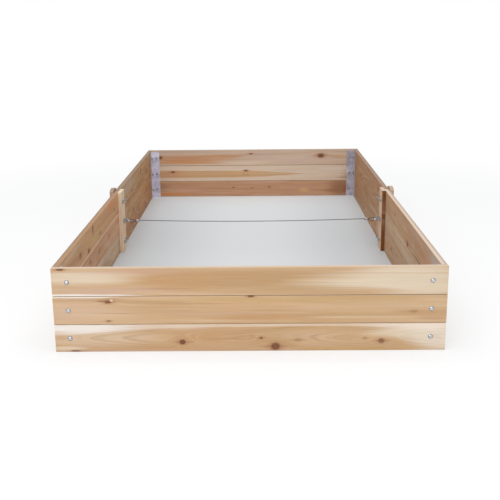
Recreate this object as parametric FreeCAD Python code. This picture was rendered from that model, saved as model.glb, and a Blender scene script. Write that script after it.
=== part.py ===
"""Raised garden bed of cedar boards.

Three tiers of boards make each wall. The end boards are single and cover the ends of the side boards.
Each side has two boards to a tier, which meet behind a pair of stakes at mid length. A steel angle in each
corner and the stakes are bolted through with carriage bolts. A wire-rope tie with a crimped loop at each end
joins two eye bolts, and stops the long sides from spreading.

Lengths are in millimetres. X runs across the bed, Y along it and Z up. The origin is on the ground, at the
centre of the plan. The wall at -Y is called the front wall.
"""
import FreeCAD, Part
import math
import os

Vec = FreeCAD.Vector

# ---- Boards ----------------------------------------------------------------------------------------------
BED_WIDTH = 1219.0           # over the side boards, and the length of an end board
SIDE_BOARD_LENGTH = 1218.5
BUTT_GAP = 1.0               # between the two side boards of a tier
BOARD_THICKNESS = 19.0
BOARD_WIDTH = 90.0
TIER_GAP = 1.5
TIER_NAMES = ("bottom", "middle", "top")
BOARD_EASE = 2.0             # radius along the long edges

# ---- Stakes at mid length --------------------------------------------------------------------------------
STAKE_WIDTH = 89.0
STAKE_THICKNESS = 16.0
STAKE_EASE = 1.5             # radius along the upright edges
STAKE_ABOVE_RIM = 12.0       # how far the outer stake stands above the boards
STAKE_CROWN = 9.0            # rise of the outer stake's rounded top
STAKE_BOLT_SPACING = 50.0    # between the two bolts of a tier

# ---- Corner angles ---------------------------------------------------------------------------------------
BRACKET_LEG = 44.5
BRACKET_THICKNESS = 2.0
BRACKET_BEND = 3.0           # inside radius of the bend
BRACKET_BELOW_RIM = 8.0
BRACKET_CORNER = 4.0         # rounding of the legs' free corners
CORNER_BOLT_OFFSET = 28.0    # from the inner corner of the bed to each bolt

# ---- Carriage bolts, nuts and washers --------------------------------------------------------------------
BOLT_DIAMETER = 6.35
BOLT_HOLE_CLEARANCE = 0.65   # on the diameter, in wood and steel
BOLT_HEAD_DIAMETER = 15.6
BOLT_HEAD_HEIGHT = 3.7
BOLT_NECK_WIDTH = 6.6        # across the square neck
BOLT_NECK_LENGTH = 3.6
NECK_CLEARANCE = 0.1         # between the neck and its pocket, on each side
BOLT_END_CHAMFER = 0.8
CORNER_BOLT_PROUD = 5.0      # thread past the nut
STAKE_BOLT_PROUD = 5.6
NUT_ACROSS_FLATS = 11.1
NUT_THICKNESS = 5.6
NUT_CLEARANCE = 0.1          # between bolt and nut, on the diameter
NUT_CHAMFER_ANGLE = 30.0
WASHER_DIAMETER = 18.0
WASHER_THICKNESS = 1.6
WASHER_CLEARANCE = 0.5       # on the diameter

# ---- Eye bolts -------------------------------------------------------------------------------------------
EYE_ROD = 6.35
EYE_INNER_DIAMETER = 12.7
EYE_STANDOFF = 2.2           # from the inside nut to the eye
EYE_BOLT_PROUD = 4.4

# ---- Wire-rope tie ---------------------------------------------------------------------------------------
ROPE_DIAMETER = 3.2
ROPE_SAG = 8.0
ROPE_EASE_RADIUS = 300.0     # bend from the level ferrule into the sagging span
STRAND_SPACING = 3.7         # between the two strands in a ferrule
LOOP_END_RADIUS = 7.0        # centre line, round the eye
LOOP_MOUTH_RADIUS = 12.0     # centre line, where the strands leave the ferrule
LOOP_ANGLE = 14.0            # of the loop's straight strands to the pull
LOOP_SEAT_GAP = 0.2          # between the loop and the eye
ROPE_TAIL = 3.0              # cut end past the ferrule
FERRULE_LENGTH = 11.0
FERRULE_WALL = 1.4
FERRULE_CLEARANCE = 0.1      # between rope and ferrule, on the diameter
CRIMP_WIDTH = 2.4
CRIMP_DEPTH = 0.6
CRIMP_COUNT = 2

# ---- Worked out from the sizes above ---------------------------------------------------------------------
TIER_PITCH = BOARD_WIDTH + TIER_GAP
RIM = TIER_PITCH * len(TIER_NAMES) - TIER_GAP
SIDE_LENGTH = 2 * SIDE_BOARD_LENGTH + BUTT_GAP
INNER_X = BED_WIDTH / 2 - BOARD_THICKNESS
INNER_Y = SIDE_LENGTH / 2
OUTER_X = BED_WIDTH / 2
OUTER_Y = INNER_Y + BOARD_THICKNESS
STAKE_FACE_X = INNER_X - STAKE_THICKNESS
STAKE_BACK_X = OUTER_X + STAKE_THICKNESS
BOLT_HOLE = BOLT_DIAMETER + BOLT_HOLE_CLEARANCE
CORNER_BOLT_X = INNER_X - CORNER_BOLT_OFFSET
CORNER_BOLT_Y = INNER_Y - CORNER_BOLT_OFFSET
CORNER_BOLT_LENGTH = BOARD_THICKNESS + BRACKET_THICKNESS + NUT_THICKNESS + CORNER_BOLT_PROUD
STAKE_GRIP = BOARD_THICKNESS + 2 * STAKE_THICKNESS
STAKE_BOLT_LENGTH = STAKE_GRIP + WASHER_THICKNESS + NUT_THICKNESS + STAKE_BOLT_PROUD
TIE_HEIGHT = RIM / 2
EYE_RING_RADIUS = (EYE_INNER_DIAMETER + EYE_ROD) / 2
EYE_OUTER_RADIUS = EYE_INNER_DIAMETER / 2 + EYE_ROD
EYE_X = STAKE_FACE_X - WASHER_THICKNESS - NUT_THICKNESS - EYE_STANDOFF - EYE_OUTER_RADIUS
LOOP_X = EYE_X - EYE_RING_RADIUS + LOOP_SEAT_GAP - (LOOP_END_RADIUS - ROPE_DIAMETER / 2 - EYE_ROD / 2)

SIDES = (("left", -1), ("right", 1))
ENDS = (("front", -1), ("back", 1))
TIERS = tuple((name, index * TIER_PITCH) for index, name in enumerate(TIER_NAMES))
BOLT_HEIGHTS = tuple(base + BOARD_WIDTH / 2 for name, base in TIERS)

# ---- For finding edges by their place --------------------------------------------------------------------
NEAR = 0.01
PARALLEL_ANGLE = 2.5         # an edge that leans less than this runs along the axis


def export(name, shape):
    """Write one node's solid, or its group of solids."""
    if not shape.isValid():
        raise ValueError(name + " is not a valid shape")
    shape.exportStep("parts/" + name + ".step")
    print(f"{name}: {len(shape.Solids)} solid(s), {shape.Volume:.1f} mm3")


def block(x0, x1, y0, y1, z0, z1):
    """An upright box between two corners."""
    return Part.makeBox(x1 - x0, y1 - y0, z1 - z0, Vec(x0, y0, z0))


def edges_along(shape, axis):
    """The straight edges that run parallel to an axis."""
    least = math.cos(math.radians(PARALLEL_ANGLE))
    found = []
    for edge in shape.Edges:
        if abs(edge.tangentAt(edge.FirstParameter).dot(axis)) > least:
            found.append(edge)
    return found


def ease(shape, axis, radius):
    """Round the edges that run along an axis."""
    return shape.makeFillet(radius, edges_along(shape, axis))


def along_x(shape, x, y, z, direction):
    """Turn a piece built along +Z so that it points along X, and move it to its place."""
    turned = shape.copy()
    turned.rotate(Vec(0, 0, 0), Vec(0, 1, 0), 90.0 * direction)
    turned.translate(Vec(x, y, z))
    return turned


def along_y(shape, x, y, z, direction):
    """Turn a piece built along +Z so that it points along Y, and move it to its place."""
    turned = shape.copy()
    turned.rotate(Vec(0, 0, 0), Vec(1, 0, 0), -90.0 * direction)
    turned.translate(Vec(x, y, z))
    return turned


# ---- Fasteners, built along +Z ---------------------------------------------------------------------------
def carriage_bolt(length):
    """Domed head below Z = 0, square neck and shank above it."""
    head_radius = BOLT_HEAD_DIAMETER / 2
    dome_radius = (head_radius ** 2 + BOLT_HEAD_HEIGHT ** 2) / (2 * BOLT_HEAD_HEIGHT)
    halfway = math.asin(head_radius / dome_radius) / 2
    below_top = dome_radius * (1 - math.cos(halfway))
    on_dome = Vec(dome_radius * math.sin(halfway), 0, below_top - BOLT_HEAD_HEIGHT)
    crown = Part.Arc(Vec(head_radius, 0, 0), on_dome, Vec(0, 0, -BOLT_HEAD_HEIGHT)).toShape()
    underside = Part.makeLine(Vec(0, 0, 0), Vec(head_radius, 0, 0))
    spine = Part.makeLine(Vec(0, 0, -BOLT_HEAD_HEIGHT), Vec(0, 0, 0))
    profile = Part.Face(Part.Wire([underside, crown, spine]))
    head = profile.revolve(Vec(0, 0, 0), Vec(0, 0, 1), 360)
    half = BOLT_NECK_WIDTH / 2
    neck = block(-half, half, -half, half, 0, BOLT_NECK_LENGTH)
    return head.fuse(neck).fuse(shank(length)).removeSplitter()


def shank(length):
    """A rod from Z = 0 with a chamfered end."""
    rod = Part.makeCylinder(BOLT_DIAMETER / 2, length - BOLT_END_CHAMFER)
    tip = Part.makeCone(BOLT_DIAMETER / 2, BOLT_DIAMETER / 2 - BOLT_END_CHAMFER, BOLT_END_CHAMFER,
                        Vec(0, 0, length - BOLT_END_CHAMFER))
    return rod.fuse(tip)


def bolt_cut(grip):
    """Pocket for the square neck, and the round hole behind it."""
    half = BOLT_NECK_WIDTH / 2 + NECK_CLEARANCE
    pocket = block(-half, half, -half, half, 0, BOLT_NECK_LENGTH + NECK_CLEARANCE)
    return pocket.fuse(Part.makeCylinder(BOLT_HOLE / 2, grip))


def hex_nut():
    """A hexagon nut on Z = 0, with its corners chamfered at both faces."""
    corner = NUT_ACROSS_FLATS / 2 / math.cos(math.radians(30))
    points = []
    for step in range(7):
        angle = math.radians(60 * step)
        points.append(Vec(corner * math.cos(angle), corner * math.sin(angle), 0))
    prism = Part.Face(Part.makePolygon(points)).extrude(Vec(0, 0, NUT_THICKNESS))
    reach = corner - NUT_ACROSS_FLATS / 2
    drop = reach * math.tan(math.radians(NUT_CHAMFER_ANGLE))
    flat = NUT_ACROSS_FLATS / 2
    lower = Part.makeCone(flat, corner, drop, Vec(0, 0, 0))
    middle = Part.makeCylinder(corner, NUT_THICKNESS - 2 * drop, Vec(0, 0, drop))
    upper = Part.makeCone(corner, flat, drop, Vec(0, 0, NUT_THICKNESS - drop))
    envelope = lower.fuse(middle).fuse(upper)
    bore = Part.makeCylinder((BOLT_DIAMETER + NUT_CLEARANCE) / 2, NUT_THICKNESS)
    return prism.common(envelope).cut(bore)


def washer():
    """A flat washer on Z = 0."""
    disc = Part.makeCylinder(WASHER_DIAMETER / 2, WASHER_THICKNESS)
    return disc.cut(Part.makeCylinder((BOLT_DIAMETER + WASHER_CLEARANCE) / 2, WASHER_THICKNESS))


# ---- Boards and stakes -----------------------------------------------------------------------------------
def end_board(end, base):
    """A front or back board, with a bolt hole near each end."""
    y_out = end * OUTER_Y
    y_in = end * INNER_Y
    board = block(-OUTER_X, OUTER_X, min(y_out, y_in), max(y_out, y_in), base, base + BOARD_WIDTH)
    board = ease(board, Vec(1, 0, 0), BOARD_EASE)
    for name, side in SIDES:
        cut = bolt_cut(BOARD_THICKNESS)
        board = board.cut(along_y(cut, side * CORNER_BOLT_X, y_out, base + BOARD_WIDTH / 2, -end))
    return board


def side_board(side, end, base):
    """One half of a side tier, from the end board to the butt joint behind the stakes."""
    y_out = end * INNER_Y
    y_in = end * BUTT_GAP / 2
    x_out = side * OUTER_X
    x_in = side * INNER_X
    mid = base + BOARD_WIDTH / 2
    board = block(min(x_out, x_in), max(x_out, x_in), min(y_out, y_in), max(y_out, y_in),
                  base, base + BOARD_WIDTH)
    board = ease(board, Vec(0, 1, 0), BOARD_EASE)
    cut = bolt_cut(BOARD_THICKNESS)
    board = board.cut(along_x(cut, x_out, end * CORNER_BOLT_Y, mid, -side))
    hole = Part.makeCylinder(BOLT_HOLE / 2, BOARD_THICKNESS)
    board = board.cut(along_x(hole, x_out, end * STAKE_BOLT_SPACING / 2, mid, -side))
    if abs(mid - TIE_HEIGHT) < BOARD_WIDTH / 2:
        board = board.cut(along_x(hole, x_out, 0, TIE_HEIGHT, -side))
    return board


def drill_stake(stake, side, x_start, cut):
    """Cut the bolt holes, and the hole for the eye bolt, through a stake."""
    for height in BOLT_HEIGHTS:
        for end_name, end in ENDS:
            stake = stake.cut(along_x(cut, x_start, end * STAKE_BOLT_SPACING / 2, height, -side))
    eye_hole = Part.makeCylinder(BOLT_HOLE / 2, STAKE_THICKNESS)
    return stake.cut(along_x(eye_hole, x_start, 0, TIE_HEIGHT, -side))


def inner_stake(side):
    """The square-topped stake inside the wall, level with the rim."""
    x_wall = side * INNER_X
    x_face = side * STAKE_FACE_X
    half = STAKE_WIDTH / 2
    stake = block(min(x_wall, x_face), max(x_wall, x_face), -half, half, 0, RIM)
    stake = ease(stake, Vec(0, 0, 1), STAKE_EASE)
    return drill_stake(stake, side, x_wall, Part.makeCylinder(BOLT_HOLE / 2, STAKE_THICKNESS))


def outer_stake(side):
    """The taller stake outside the wall, with its top rounded across the width."""
    x_start = side * OUTER_X
    x_back = side * STAKE_BACK_X
    half = STAKE_WIDTH / 2
    top = RIM + STAKE_ABOVE_RIM
    shoulder = top - STAKE_CROWN
    foot = Part.makeLine(Vec(x_start, -half, 0), Vec(x_start, half, 0))
    rise = Part.makeLine(Vec(x_start, half, 0), Vec(x_start, half, shoulder))
    crown = Part.Arc(Vec(x_start, half, shoulder), Vec(x_start, 0, top), Vec(x_start, -half, shoulder))
    fall = Part.makeLine(Vec(x_start, -half, shoulder), Vec(x_start, -half, 0))
    outline = Part.Face(Part.Wire([foot, rise, crown.toShape(), fall]))
    stake = outline.extrude(Vec(side * STAKE_THICKNESS, 0, 0))
    stake = ease(stake, Vec(0, 0, 1), STAKE_EASE)
    return drill_stake(stake, side, x_back, bolt_cut(STAKE_THICKNESS))


# ---- Corner angles ---------------------------------------------------------------------------------------
def corner_bracket(side, end):
    """A bent steel angle that stands in one corner, punched for three bolts in each leg."""
    height = RIM - BRACKET_BELOW_RIM
    angle = block(0, BRACKET_LEG, 0, BRACKET_LEG, 0, height)
    inside = BRACKET_THICKNESS
    angle = angle.cut(block(inside, BRACKET_LEG, inside, BRACKET_LEG, 0, height))
    outer_edge = [e for e in edges_along(angle, Vec(0, 0, 1)) if at_plan(e, 0, 0)]
    angle = angle.makeFillet(BRACKET_BEND + BRACKET_THICKNESS, outer_edge)
    inner_edge = [e for e in edges_along(angle, Vec(0, 0, 1)) if at_plan(e, inside, inside)]
    angle = angle.makeFillet(BRACKET_BEND, inner_edge)
    angle = round_free_corners(angle, height)
    hole = Part.makeCylinder(BOLT_HOLE / 2, BRACKET_THICKNESS)
    for bolt_height in BOLT_HEIGHTS:
        angle = angle.cut(along_x(hole, 0, CORNER_BOLT_OFFSET, bolt_height, 1))
        angle = angle.cut(along_y(hole, CORNER_BOLT_OFFSET, 0, bolt_height, 1))
    return to_corner(angle, side, end)


def at_plan(edge, x, y):
    """Whether an upright edge stands at a point of the plan."""
    start = edge.Vertexes[0].Point
    return abs(start.x - x) < NEAR and abs(start.y - y) < NEAR


def round_free_corners(angle, height):
    """Round the outer corners of both legs, top and bottom."""
    corners = []
    for edge in angle.Edges:
        bounds = edge.BoundBox
        through = abs(edge.Length - BRACKET_THICKNESS) < NEAR
        at_end = bounds.ZMax < NEAR or bounds.ZMin > height - NEAR
        at_tip = bounds.XMin > BRACKET_LEG - NEAR or bounds.YMin > BRACKET_LEG - NEAR
        if through and at_end and at_tip:
            corners.append(edge)
    return angle.makeFillet(BRACKET_CORNER, corners)


def to_corner(angle, side, end):
    """Mirror the angle, drawn at the origin, and move it to one corner of the bed."""
    placed = angle.copy()
    if side > 0:
        placed = placed.mirror(Vec(0, 0, 0), Vec(1, 0, 0))
    if end > 0:
        placed = placed.mirror(Vec(0, 0, 0), Vec(0, 1, 0))
    placed.translate(Vec(side * INNER_X, end * INNER_Y, 0))
    return placed


def corner_fasteners(side, end):
    """The six bolts of a corner and their nuts."""
    bolts = []
    nuts = []
    bolt = carriage_bolt(CORNER_BOLT_LENGTH)
    nut = hex_nut()
    nut_seat_x = side * (INNER_X - BRACKET_THICKNESS)
    nut_seat_y = end * (INNER_Y - BRACKET_THICKNESS)
    for height in BOLT_HEIGHTS:
        bolts.append(along_y(bolt, side * CORNER_BOLT_X, end * OUTER_Y, height, -end))
        bolts.append(along_x(bolt, side * OUTER_X, end * CORNER_BOLT_Y, height, -side))
        nuts.append(along_y(nut, side * CORNER_BOLT_X, nut_seat_y, height, -end))
        nuts.append(along_x(nut, nut_seat_x, end * CORNER_BOLT_Y, height, -side))
    return Part.makeCompound(bolts), Part.makeCompound(nuts)


# ---- Stake fasteners -------------------------------------------------------------------------------------
def stake_fasteners(side):
    """The six long bolts of a pair of stakes, with their washers and nuts on the inner stake."""
    bolts = []
    washers = []
    nuts = []
    face = side * STAKE_FACE_X
    nut_seat = side * (STAKE_FACE_X - WASHER_THICKNESS)
    for height in BOLT_HEIGHTS:
        for end_name, end in ENDS:
            y = end * STAKE_BOLT_SPACING / 2
            bolts.append(along_x(carriage_bolt(STAKE_BOLT_LENGTH), side * STAKE_BACK_X, y, height, -side))
            washers.append(along_x(washer(), face, y, height, -side))
            nuts.append(along_x(hex_nut(), nut_seat, y, height, -side))
    return Part.makeCompound(bolts), Part.makeCompound(washers), Part.makeCompound(nuts)


def eye_bolt(side):
    """A level ring on a rod that passes through both stakes and the butt joint between them."""
    ring = Part.makeTorus(EYE_RING_RADIUS, EYE_ROD / 2, Vec(0, 0, 0), Vec(0, 0, 1))
    rod_end = STAKE_BACK_X + WASHER_THICKNESS + NUT_THICKNESS + EYE_BOLT_PROUD
    rod = along_x(shank(rod_end - EYE_X - EYE_RING_RADIUS), EYE_RING_RADIUS, 0, 0, 1)
    eye = ring.fuse(rod)
    if side < 0:
        eye.rotate(Vec(0, 0, 0), Vec(0, 0, 1), 180)
    eye.translate(Vec(side * EYE_X, 0, TIE_HEIGHT))
    return eye


def eye_washers_and_nuts(side):
    """A washer and nut on each face of the stakes, which clamp the eye bolt."""
    washers = []
    nuts = []
    for face, outward in ((STAKE_FACE_X, -1), (STAKE_BACK_X, 1)):
        direction = side * outward
        nut_seat = face + outward * WASHER_THICKNESS
        washers.append(along_x(washer(), side * face, 0, TIE_HEIGHT, direction))
        nuts.append(along_x(hex_nut(), side * nut_seat, 0, TIE_HEIGHT, direction))
    return Part.makeCompound(washers), Part.makeCompound(nuts)


# ---- Wire-rope tie ---------------------------------------------------------------------------------------
def arc_edge(center_x, center_z, radius, start, end):
    """An arc in the XZ plane, between two angles in radians."""
    middle = (start + end) / 2
    points = []
    for angle in (start, middle, end):
        points.append(Vec(center_x + radius * math.cos(angle), 0, center_z + radius * math.sin(angle)))
    return Part.Arc(points[0], points[1], points[2]).toShape()


def loop_strand():
    """Length of a loop's straight strand, between its mouth and its round end."""
    turn = math.radians(LOOP_ANGLE)
    rise = LOOP_END_RADIUS * math.cos(turn) - STRAND_SPACING / 2 - LOOP_MOUTH_RADIUS * (1 - math.cos(turn))
    return rise / math.sin(turn)


def loop_mouth():
    """Where the strands leave the right-hand ferrule for the loop."""
    turn = math.radians(LOOP_ANGLE)
    return LOOP_X - (LOOP_MOUTH_RADIUS + LOOP_END_RADIUS) * math.sin(turn) - loop_strand() * math.cos(turn)


def half_tie_edges():
    """The rope's centre line from its cut end, round the right-hand eye and on to mid span."""
    turn = math.radians(LOOP_ANGLE)
    strand = loop_strand()
    mouth_x = loop_mouth()
    inner_x = mouth_x - FERRULE_LENGTH
    low = TIE_HEIGHT - STRAND_SPACING / 2
    high = TIE_HEIGHT + STRAND_SPACING / 2
    quarter = math.pi / 2
    edges = [Part.makeLine(Vec(inner_x - ROPE_TAIL, 0, low), Vec(mouth_x, 0, low))]
    edges.append(arc_edge(mouth_x, low - LOOP_MOUTH_RADIUS, LOOP_MOUTH_RADIUS, quarter, quarter - turn))
    edges.append(strand_line(edges[-1], strand, -turn))
    edges.append(arc_edge(LOOP_X, TIE_HEIGHT, LOOP_END_RADIUS, -quarter - turn, quarter + turn))
    edges.append(strand_line(edges[-1], strand, math.pi + turn))
    edges.append(arc_edge(mouth_x, high + LOOP_MOUTH_RADIUS, LOOP_MOUTH_RADIUS, turn - quarter, -quarter))
    edges.append(Part.makeLine(Vec(mouth_x, 0, high), Vec(inner_x, 0, high)))
    slope = 2 * math.atan(ROPE_SAG / inner_x)
    span_radius = inner_x / math.sin(slope) - ROPE_EASE_RADIUS
    edges.append(arc_edge(inner_x, high - ROPE_EASE_RADIUS, ROPE_EASE_RADIUS, quarter, quarter + slope))
    return edges, high - ROPE_SAG + span_radius, span_radius, slope


def strand_line(previous, length, heading):
    """A straight run that goes on from the end of the edge before it."""
    start = previous.valueAt(previous.LastParameter)
    return Part.makeLine(start, start + Vec(length * math.cos(heading), 0, length * math.sin(heading)))


def mirrored_in_x(edges):
    """The same centre line on the other side of the bed."""
    return [edge.mirror(Vec(0, 0, 0), Vec(1, 0, 0)) for edge in reversed(edges)]


def tie_rope():
    """One unbroken rope, from cut end to cut end."""
    half, center_z, span_radius, slope = half_tie_edges()
    down = -math.pi / 2
    span = arc_edge(0, center_z, span_radius, down + slope, down - slope)
    path = Part.Wire(half + [span] + mirrored_in_x(half))
    start = half[0].valueAt(half[0].FirstParameter)
    section = Part.Wire([Part.makeCircle(ROPE_DIAMETER / 2, start, Vec(1, 0, 0))])
    rope = path.makePipeShell([section], True, False)
    expected = math.pi * ROPE_DIAMETER ** 2 / 4 * path.Length
    print(f"tie rope: length {path.Length:.1f}, volume {rope.Volume:.1f}")
    print(f"tie rope: section times length {expected:.1f}")
    print(f"tie rope radii: {LOOP_MOUTH_RADIUS}, {LOOP_END_RADIUS}, {ROPE_EASE_RADIUS}, {span_radius:.0f}")
    return rope


def oval_sleeve(x0, x1, squeeze):
    """A solid sleeve with rounded top and bottom, around both strands."""
    radius = ROPE_DIAMETER / 2 + FERRULE_WALL - squeeze
    low = TIE_HEIGHT - STRAND_SPACING / 2
    high = TIE_HEIGHT + STRAND_SPACING / 2
    body = block(x0, x1, -radius, radius, low, high)
    for height in (low, high):
        body = body.fuse(Part.makeCylinder(radius, x1 - x0, Vec(x0, 0, height), Vec(1, 0, 0)))
    return body.removeSplitter()


def ferrule(side):
    """A crimped oval sleeve, which holds the cut end of the rope against its live strand."""
    end = loop_mouth()
    start = end - FERRULE_LENGTH
    land = (FERRULE_LENGTH - CRIMP_COUNT * CRIMP_WIDTH) / (CRIMP_COUNT + 1)
    pieces = []
    position = start
    for index in range(CRIMP_COUNT):
        pieces.append(oval_sleeve(position, position + land, 0))
        pieces.append(oval_sleeve(position + land, position + land + CRIMP_WIDTH, CRIMP_DEPTH))
        position += land + CRIMP_WIDTH
    pieces.append(oval_sleeve(position, end, 0))
    sleeve = pieces[0].multiFuse(pieces[1:])
    bore_radius = (ROPE_DIAMETER + FERRULE_CLEARANCE) / 2
    for height in (TIE_HEIGHT - STRAND_SPACING / 2, TIE_HEIGHT + STRAND_SPACING / 2):
        bore = Part.makeCylinder(bore_radius, FERRULE_LENGTH, Vec(start, 0, height), Vec(1, 0, 0))
        sleeve = sleeve.cut(bore)
    if side < 0:
        sleeve = sleeve.mirror(Vec(0, 0, 0), Vec(1, 0, 0))
    return sleeve


# ---- The whole bed ---------------------------------------------------------------------------------------
def build_walls():
    for tier, base in TIERS:
        for end_name, end in ENDS:
            export(f"end_board_{end_name}_{tier}", end_board(end, base))
            for side_name, side in SIDES:
                export(f"side_board_{side_name}_{end_name}_{tier}", side_board(side, end, base))


def build_corners():
    for side_name, side in SIDES:
        for end_name, end in ENDS:
            corner = f"{end_name}_{side_name}"
            bolts, nuts = corner_fasteners(side, end)
            export("corner_bracket_" + corner, corner_bracket(side, end))
            export("corner_bolts_" + corner, bolts)
            export("corner_nuts_" + corner, nuts)


def build_stakes():
    for side_name, side in SIDES:
        bolts, washers, nuts = stake_fasteners(side)
        export("inner_stake_" + side_name, inner_stake(side))
        export("outer_stake_" + side_name, outer_stake(side))
        export("stake_bolts_" + side_name, bolts)
        export("stake_washers_" + side_name, washers)
        export("stake_nuts_" + side_name, nuts)


def build_tie():
    for side_name, side in SIDES:
        washers, nuts = eye_washers_and_nuts(side)
        export("eye_bolt_" + side_name, eye_bolt(side))
        export("eye_washers_" + side_name, washers)
        export("eye_nuts_" + side_name, nuts)
        export("tie_ferrule_" + side_name, ferrule(side))
    export("tie_rope", tie_rope())


os.makedirs("parts", exist_ok=True)
build_walls()
build_corners()
build_stakes()
build_tie()
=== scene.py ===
"""Looks of the raised garden bed: camera, cedar, zinc-plated steel, wire-rope tie, floor and light.

Everything is in metres, in the frame of the CAD part. Grain, knots and tones are placed in millimetres along,
across and through each board, measured from the board's own middle.
"""

import math

import bpy
from mathutils import Matrix, Vector


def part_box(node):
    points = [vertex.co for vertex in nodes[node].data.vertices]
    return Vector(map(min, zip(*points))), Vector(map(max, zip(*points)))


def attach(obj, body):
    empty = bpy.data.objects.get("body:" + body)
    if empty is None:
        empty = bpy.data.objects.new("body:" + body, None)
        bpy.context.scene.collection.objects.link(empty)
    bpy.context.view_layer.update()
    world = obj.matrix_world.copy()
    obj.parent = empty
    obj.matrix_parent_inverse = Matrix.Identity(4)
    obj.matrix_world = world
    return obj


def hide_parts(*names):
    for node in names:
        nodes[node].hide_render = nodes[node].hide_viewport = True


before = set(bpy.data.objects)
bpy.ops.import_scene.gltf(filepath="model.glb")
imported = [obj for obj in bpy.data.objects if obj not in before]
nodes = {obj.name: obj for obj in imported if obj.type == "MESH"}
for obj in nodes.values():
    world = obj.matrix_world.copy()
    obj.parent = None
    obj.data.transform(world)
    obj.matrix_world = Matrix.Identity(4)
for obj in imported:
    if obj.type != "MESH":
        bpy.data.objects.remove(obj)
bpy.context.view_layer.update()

MM_PER_METRE = 1000.0

# ---- Camera, for a square picture ------------------------------------------------------------------------
YAW, PITCH, ROLL = math.radians(-0.567), math.radians(14.985), math.radians(0.525)
PICTURE_PIXELS = 500
FOCAL_PIXELS = 858.6
SENSOR_WIDTH = 36.0          # millimetres
CAMERA_PLACE = Vector((0.0277, -3.7575, 1.0022))


def add_camera():
    data = bpy.data.cameras.new("camera")
    data.sensor_width = SENSOR_WIDTH
    data.lens = FOCAL_PIXELS / PICTURE_PIXELS * SENSOR_WIDTH
    data.clip_start = 0.05
    data.clip_end = 100.0
    camera = bpy.data.objects.new("camera", data)
    bpy.context.scene.collection.objects.link(camera)
    level = Matrix(((1, 0, 0), (0, 0, -1), (0, 1, 0)))            # looks along Y, with Z up the picture
    turn = Matrix.Rotation(YAW, 3, "Z")
    tilt = Matrix.Rotation(PITCH, 3, "X")
    roll = Matrix.Rotation(-ROLL, 3, "Z")
    world_to_view = roll @ tilt @ level @ turn
    to_blender = Matrix(((1, 0, 0), (0, -1, 0), (0, 0, -1)))      # a camera object looks along its -Z
    facing = (world_to_view.transposed() @ to_blender).to_4x4()
    camera.matrix_world = Matrix.Translation(CAMERA_PLACE) @ facing
    bpy.context.scene.camera = camera


add_camera()

# ---- Wire-rope tie ---------------------------------------------------------------------------------------
ROPE_DIAMETER = 0.0032
ROPE_LAY = 0.021             # length of one full turn of the strands
ROPE_STEP = 0.0014           # between the rings of a strand's mesh
STRAND_COUNT = 6
STRAND_CORNERS = 7
STRAND_RADIUS = ROPE_DIAMETER / 6    # three strands across the rope
# The right-hand half of the rope in millimetres, (X, Z), from its cut end round the eye to mid span
HALF_ROUTE = (
    (503.9, 134.65), (511.0, 134.65), (519.3, 134.65), (534.4, 130.9), (543.85, 128.5), (549.4, 136.5),
    (543.85, 144.5), (534.4, 142.1), (519.3, 138.35), (511.0, 138.35), (502.1, 138.35), (400.0, 135.3),
    (240.0, 132.0), (80.0, 130.4))


def rope_line():
    """Points along the rope's own smooth curve."""
    route = list(HALF_ROUTE) + [(-x, z) for x, z in reversed(HALF_ROUTE)]
    curve = bpy.data.curves.new("rope_route", "CURVE")
    curve.dimensions = "3D"
    spline = curve.splines.new("NURBS")
    spline.points.add(len(route) - 1)
    for point, (x, z) in zip(spline.points, route):
        point.co = (x / MM_PER_METRE, 0.0, z / MM_PER_METRE, 1.0)
    spline.order_u = 3
    spline.use_endpoint_u = True
    spline.resolution_u = 24
    holder = bpy.data.objects.new("rope_route", curve)
    mesh = bpy.data.meshes.new_from_object(holder)
    line = [v.co.copy() for v in mesh.vertices]
    bpy.data.meshes.remove(mesh)
    bpy.data.objects.remove(holder)
    bpy.data.curves.remove(curve)
    return line


def evenly(line, step):
    """The same line with its points about one step apart."""
    along = [0.0]
    for a, b in zip(line, line[1:]):
        along.append(along[-1] + (b - a).length)
    count = int(along[-1] / step)
    points = []
    k = 0
    for i in range(count + 1):
        at = along[-1] * i / count
        while k < len(line) - 2 and along[k + 1] < at:
            k += 1
        share = (at - along[k]) / max(along[k + 1] - along[k], 1e-9)
        points.append(line[k].lerp(line[k + 1], min(max(share, 0.0), 1.0)))
    return points


def join_rings(rings, vertices, faces):
    """Add a closed tube through rings of corners to a mesh's vertices and faces."""
    first = len(vertices)
    corners = len(rings[0])
    for ring in rings:
        vertices.extend(ring)
    for i in range(len(rings) - 1):
        for j in range(corners):
            a = first + i * corners + j
            b = first + i * corners + (j + 1) % corners
            faces.append((a, b, b + corners, a + corners))
    faces.append(tuple(first + j for j in reversed(range(corners))))
    faces.append(tuple(len(vertices) - corners + j for j in range(corners)))


def mesh_object(name, vertices, faces):
    """A smooth-shaded piece of the object that rides on its one body."""
    mesh = bpy.data.meshes.new(name)
    mesh.from_pydata(vertices, [], faces)
    mesh.shade_smooth()
    piece = bpy.data.objects.new(name, mesh)
    bpy.context.scene.collection.objects.link(piece)
    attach(piece, "root")
    return piece


def strand_rings(points, phase, offset):
    """One strand that winds round the rope's line, at an offset from it."""
    across = Vector((0, 1, 0))
    rings = []
    travelled = 0.0
    for i, point in enumerate(points):
        before, after = points[max(i - 1, 0)], points[min(i + 1, len(points) - 1)]
        up = across.cross((after - before).normalized())
        if i:
            travelled += (point - points[i - 1]).length
        turn = math.tau * (travelled / ROPE_LAY + phase)
        middle = point + offset * (math.cos(turn) * across + math.sin(turn) * up)
        ring = []
        for j in range(STRAND_CORNERS):
            angle = math.tau * j / STRAND_CORNERS
            ring.append(middle + STRAND_RADIUS * (math.cos(angle) * across + math.sin(angle) * up))
        rings.append(ring)
    return rings


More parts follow.
